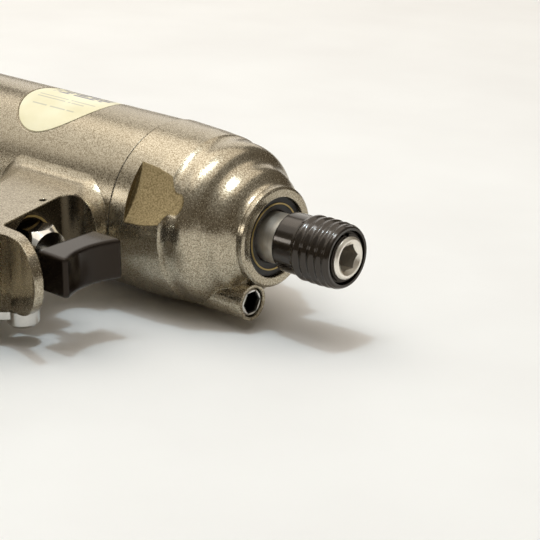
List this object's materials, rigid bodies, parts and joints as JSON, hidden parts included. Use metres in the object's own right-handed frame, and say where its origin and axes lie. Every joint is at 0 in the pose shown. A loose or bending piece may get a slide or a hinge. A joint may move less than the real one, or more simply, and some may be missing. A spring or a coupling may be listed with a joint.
{
  "type": "pneumatic impact driver",
  "caption": "Pistol-grip pneumatic impact driver with a cast metal body, screwed-on hammer case, black trigger and quick-change hex bit chuck.",
  "frame": {"origin": "centre of the anvil's nose, where the bit enters, on the spindle axis", "axes": "+X along the spindle, the way the bit leaves; +Y the tool's top, the grip hangs towards -Y; +Z the tool's right side, which faces up when it lies on its left side"},
  "size_m": [0.15, 0.1633, 0.0476],
  "materials": {
    "housing_paint": "cast aluminium under a fine champagne metallic coat",
    "case_paint": "cast aluminium under a fine champagne metallic coat",
    "name_plate": null,
    "gasket": "dark fibre gasket",
    "copper_washer": "soft copper",
    "plated_steel": "zinc plated steel",
    "bronze": "sintered bronze",
    "brass": "polished brass",
    "seal_rubber": "black nitrile",
    "tool_steel": "ground and polished tool steel",
    "bearing_steel": "polished bearing steel",
    "black_sleeve": "steel with a satin black finish",
    "spring_steel": "drawn spring steel",
    "cast_iron": "ground grey iron",
    "cylinder_steel": "honed steel",
    "vane_composite": "phenolic laminate",
    "black_plastic": "glossy black moulding",
    "chrome": "bright chrome plate",
    "cover_plastic": "black glass-filled nylon",
    "silencer_felt": "felt",
    "screen_steel": "stainless mesh disc"
  },
  "bodies": {
    "housing": {"motor_housing": "housing_paint", "hammer_case": "case_paint", "rear_cap": "housing_paint", "name_plate": "name_plate", "case_gasket": "gasket", "plug_washer": "copper_washer", "grease_plug": "plated_steel", "anvil_bushing": "bronze", "seal_ring": "brass", "oil_seal": "seal_rubber", "thrust_washer": "plated_steel", "front_end_plate": "cast_iron", "rear_end_plate": "cast_iron", "motor_cylinder": "cylinder_steel", "motor_pin": "bearing_steel", "front_bearing_outer": "bearing_steel", "rear_bearing_outer": "bearing_steel", "preload_washer": "spring_steel", "rear_cap_seal": "seal_rubber", "bushing_pin": "plated_steel", "valve_bushing": "chrome", "valve_ring": "brass", "exhaust_gasket": "gasket", "exhaust_cover": "cover_plastic", "silencer_pad": "silencer_felt", "inlet_bushing": "plated_steel", "inlet_screen": "screen_steel"},
    "rotor": {"rotor": "tool_steel", "rotor_vanes": "vane_composite", "hammer_cage": "tool_steel", "hammer_pins": "bearing_steel", "front_bearing_inner": "bearing_steel", "rear_bearing_inner": "bearing_steel", "front_bearing_balls": "bearing_steel", "rear_bearing_balls": "bearing_steel"},
    "front_hammer": {"front_hammer": "tool_steel"},
    "rear_hammer": {"rear_hammer": "tool_steel"},
    "anvil": {"anvil": "tool_steel", "detent_balls": "bearing_steel", "sleeve_washer": "plated_steel", "snap_ring": "spring_steel"},
    "sleeve": {"chuck_sleeve": "black_sleeve", "sleeve_spring": "spring_steel"},
    "trigger": {"trigger": "black_plastic", "trigger_stem": "plated_steel"},
    "throttle_valve": {"throttle_valve": "seal_rubber", "throttle_spring": "spring_steel"},
    "regulator_lever": {"regulator_lever": "chrome", "regulator_valve": "plated_steel", "lever_screw": "plated_steel"}
  },
  "joints": [
    {"name": "rotor_spin", "type": "hinge", "parent": "housing", "child": "rotor", "pos_m": [-0.096, 0, 0], "axis": [1, 0, 0], "continuous": true},
    {"name": "front_hammer_swing", "type": "hinge", "parent": "rotor", "child": "front_hammer", "pos_m": [-0.0493, 0.0152, 0], "axis": [1, 0, 0], "range_deg": [-3, 3]},
    {"name": "rear_hammer_swing", "type": "hinge", "parent": "rotor", "child": "rear_hammer", "pos_m": [-0.0571, -0.0152, 0], "axis": [1, 0, 0], "range_deg": [-3, 3]},
    {"name": "anvil_spin", "type": "hinge", "parent": "housing", "child": "anvil", "pos_m": [-0.03, 0, 0], "axis": [1, 0, 0], "continuous": true},
    {"name": "sleeve_slide", "type": "slide", "parent": "anvil", "child": "sleeve", "axis": [1, 0, 0], "range_m": [0, 0.0024], "stiffness_N_per_m": 1500, "springref_m": -0.002, "deforming": ["sleeve_spring"]},
    {"name": "trigger_slide", "type": "slide", "parent": "housing", "child": "trigger", "axis": [-1, 0, 0], "range_m": [0, 0.0036], "stiffness_N_per_m": 1200, "springref_m": -0.003},
    {"name": "throttle_slide", "type": "slide", "parent": "housing", "child": "throttle_valve", "axis": [-1, 0, 0], "range_m": [0, 0.0036], "deforming": ["throttle_spring"]},
    {"name": "regulator_turn", "type": "hinge", "parent": "housing", "child": "regulator_lever", "pos_m": [-0.077, -0.07, -0.012], "axis": [0, 0, 1], "range_deg": [0, 60]}
  ],
  "couplings": [
    {"joint": "throttle_slide", "follows": "trigger_slide", "ratio": 1}
  ]
}
